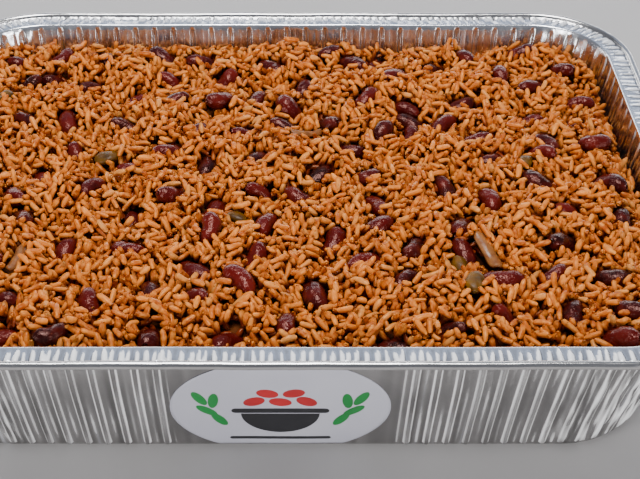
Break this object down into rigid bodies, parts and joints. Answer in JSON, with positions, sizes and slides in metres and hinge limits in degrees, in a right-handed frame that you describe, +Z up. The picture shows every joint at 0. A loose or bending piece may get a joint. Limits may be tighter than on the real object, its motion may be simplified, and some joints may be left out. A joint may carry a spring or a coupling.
{
  "type": "catering tray of rice and beans",
  "caption": "Rectangular foil catering tray with ribbed slanting walls, a flange with a rolled bead and an oval label, filled to near the lip with rice and beans.",
  "frame": {"origin": "centre of the tray's underside, on the surface it stands on", "axes": "+Z up, +X along the tray's long side, -Y towards the front wall, which has the plain panel and the label"},
  "size_m": [0.3238, 0.2634, 0.0656],
  "materials": {
    "foil": "bright pressed foil",
    "label_film": null,
    "rice_and_beans": "moist cooked rice and beans"
  },
  "bodies": {
    "root": {"foil_tray": "foil", "label": "label_film", "rice_and_beans": "rice_and_beans"}
  },
  "joints": []
}
